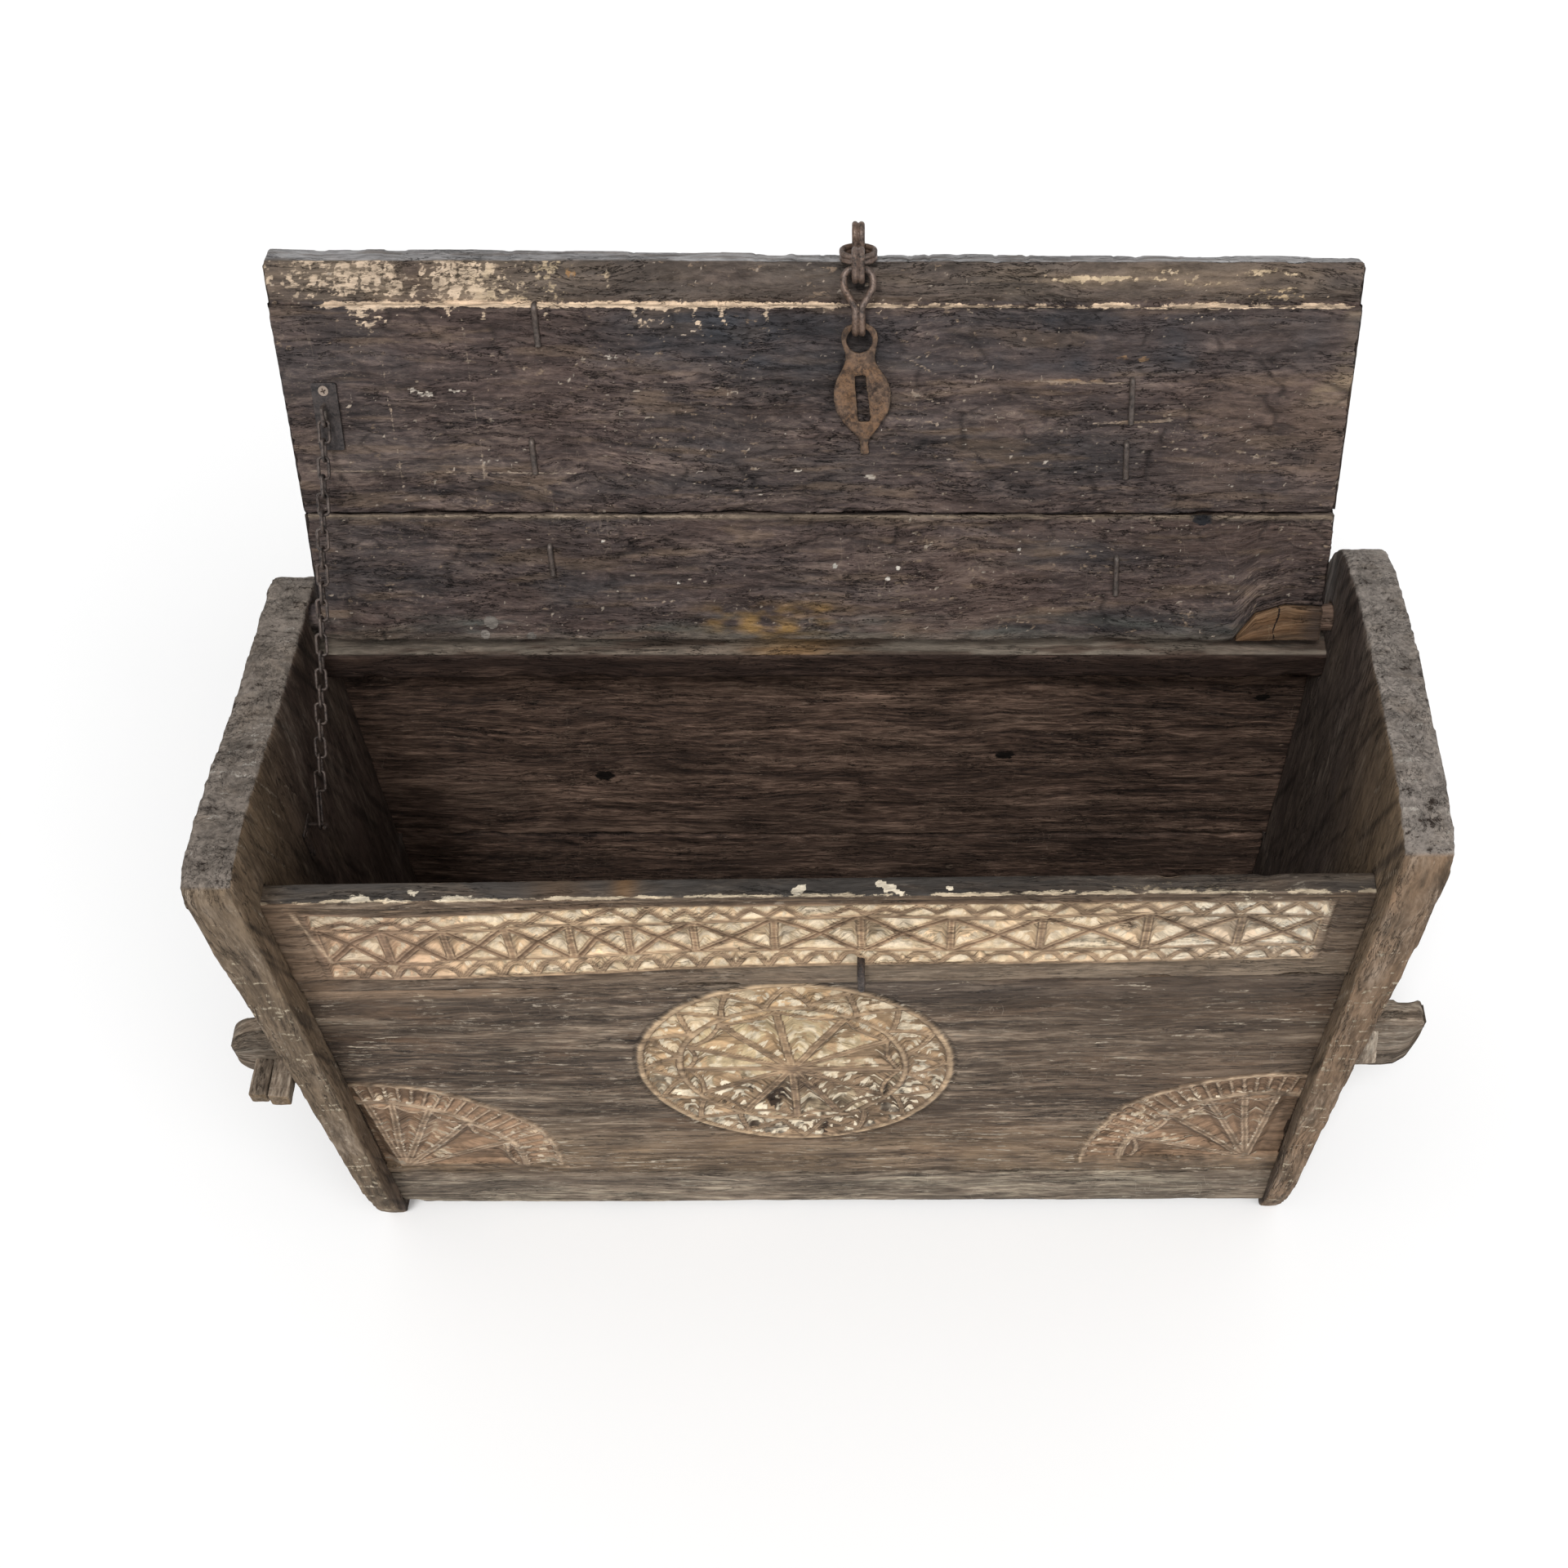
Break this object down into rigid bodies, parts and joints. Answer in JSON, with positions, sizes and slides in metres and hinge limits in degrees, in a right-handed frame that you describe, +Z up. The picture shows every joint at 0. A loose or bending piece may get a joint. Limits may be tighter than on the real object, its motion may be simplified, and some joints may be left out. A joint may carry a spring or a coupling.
{
  "type": "storage chest",
  "caption": "Old carved wooden chest on plank ends, with wedged through tenons, a pintle-hinged lid on a stay chain, and a hasp on a short iron chain.",
  "frame": {"origin": "middle of the bounding box's bottom face, on the floor, with the lid open", "axes": "+X along the chest to its right end, +Y from the front to the back, +Z up"},
  "size_m": [1.213, 0.5541, 0.9896],
  "materials": {
    "weathered_wood": "matt",
    "carved_wood": "matt",
    "dark_wood": "matt",
    "pale_wood": "matt",
    "wrought_iron": "rough",
    "rusted_plate": "rough",
    "chain_steel": "rough"
  },
  "bodies": {
    "chest": {"left_end_board": "weathered_wood", "right_end_board": "weathered_wood", "front_upper_board": "carved_wood", "front_lower_board": "carved_wood", "front_bottom_rail": "carved_wood", "back_top_rail": "weathered_wood", "back_upper_board": "dark_wood", "back_lower_board": "dark_wood", "floor_board_front": "dark_wood", "floor_board_back": "dark_wood", "tusk_wedge_front_left_outer": "weathered_wood", "tusk_wedge_front_left_inner": "weathered_wood", "tusk_wedge_front_right": "weathered_wood", "tusk_wedge_back_left": "weathered_wood", "tusk_wedge_back_right": "weathered_wood", "front_hasp_staple": "wrought_iron", "stay_hook": "wrought_iron", "stay_hook_plate": "wrought_iron", "stay_hook_nails": "wrought_iron"},
    "lid": {"lid_front_plank": "dark_wood", "lid_rear_plank": "dark_wood", "lid_repair_patch": "pale_wood", "lid_batten_left": "weathered_wood", "lid_batten_right": "weathered_wood", "lid_clinched_nails_left": "wrought_iron", "lid_clinched_nails_right": "wrought_iron", "lid_hasp_staple": "wrought_iron", "stay_plate": "chain_steel", "stay_plate_screw": "chain_steel", "stay_plate_eye": "wrought_iron"},
    "hasp_ring": {"hasp_ring": "wrought_iron"},
    "hasp_double_link": {"hasp_double_link": "wrought_iron"},
    "hasp_teardrop_link": {"hasp_teardrop_link": "wrought_iron"},
    "hasp_plate": {"hasp_plate": "rusted_plate"},
    "stay_chain_upper": {"stay_chain_upper_links": "chain_steel"},
    "stay_chain_bend": {"stay_chain_bend_link": "chain_steel"},
    "stay_chain_lower": {"stay_chain_lower_links": "chain_steel", "stay_chain_end_link": "chain_steel"}
  },
  "joints": [
    {"name": "lid_hinge", "type": "hinge", "parent": "chest", "child": "lid", "pos_m": [0, 0.0898, 0.664], "axis": [1, 0, 0], "range_deg": [0, 117]},
    {"name": "hasp_ring_swing", "type": "hinge", "parent": "lid", "child": "hasp_ring", "pos_m": [0.037, 0.25773, 0.96598], "axis": [1, 0, 0], "range_deg": [-45, 0]},
    {"name": "hasp_drop_swing", "type": "hinge", "parent": "hasp_ring", "child": "hasp_teardrop_link", "pos_m": [0.037, 0.23011, 0.97792], "axis": [1, 0, 0], "range_deg": [-94, 0]},
    {"name": "hasp_link_swing", "type": "hinge", "parent": "hasp_teardrop_link", "child": "hasp_double_link", "pos_m": [0.037, 0.23011, 0.97792], "axis": [1, 0, 0], "range_deg": [-20, 0]},
    {"name": "hasp_plate_swing", "type": "hinge", "parent": "hasp_teardrop_link", "child": "hasp_plate", "pos_m": [0.037, 0.19871, 0.93061], "axis": [1, 0, 0], "range_deg": [-80, 0]},
    {"name": "stay_upper_swing", "type": "hinge", "parent": "lid", "child": "stay_chain_upper", "pos_m": [-0.456, 0.15832, 0.85355], "axis": [1, 0, 0], "range_deg": [-75, 0]},
    {"name": "stay_bend_swing", "type": "hinge", "parent": "stay_chain_upper", "child": "stay_chain_bend", "pos_m": [-0.456, 0.01323, 0.69469], "axis": [1, 0, 0], "range_deg": [0, 90.1]},
    {"name": "stay_lower_swing", "type": "hinge", "parent": "chest", "child": "stay_chain_lower", "pos_m": [-0.488, -0.097, 0.574], "axis": [1, 0, 0], "range_deg": [-138, 0]}
  ],
  "couplings": [
    {"joint": "hasp_drop_swing", "follows": "lid_hinge", "ratio": -0.80342},
    {"joint": "stay_upper_swing", "follows": "lid_hinge", "ratio": -0.63755},
    {"joint": "stay_bend_swing", "follows": "lid_hinge", "ratio": 0.76923},
    {"joint": "stay_lower_swing", "follows": "lid_hinge", "ratio": -1.176}
  ]
}
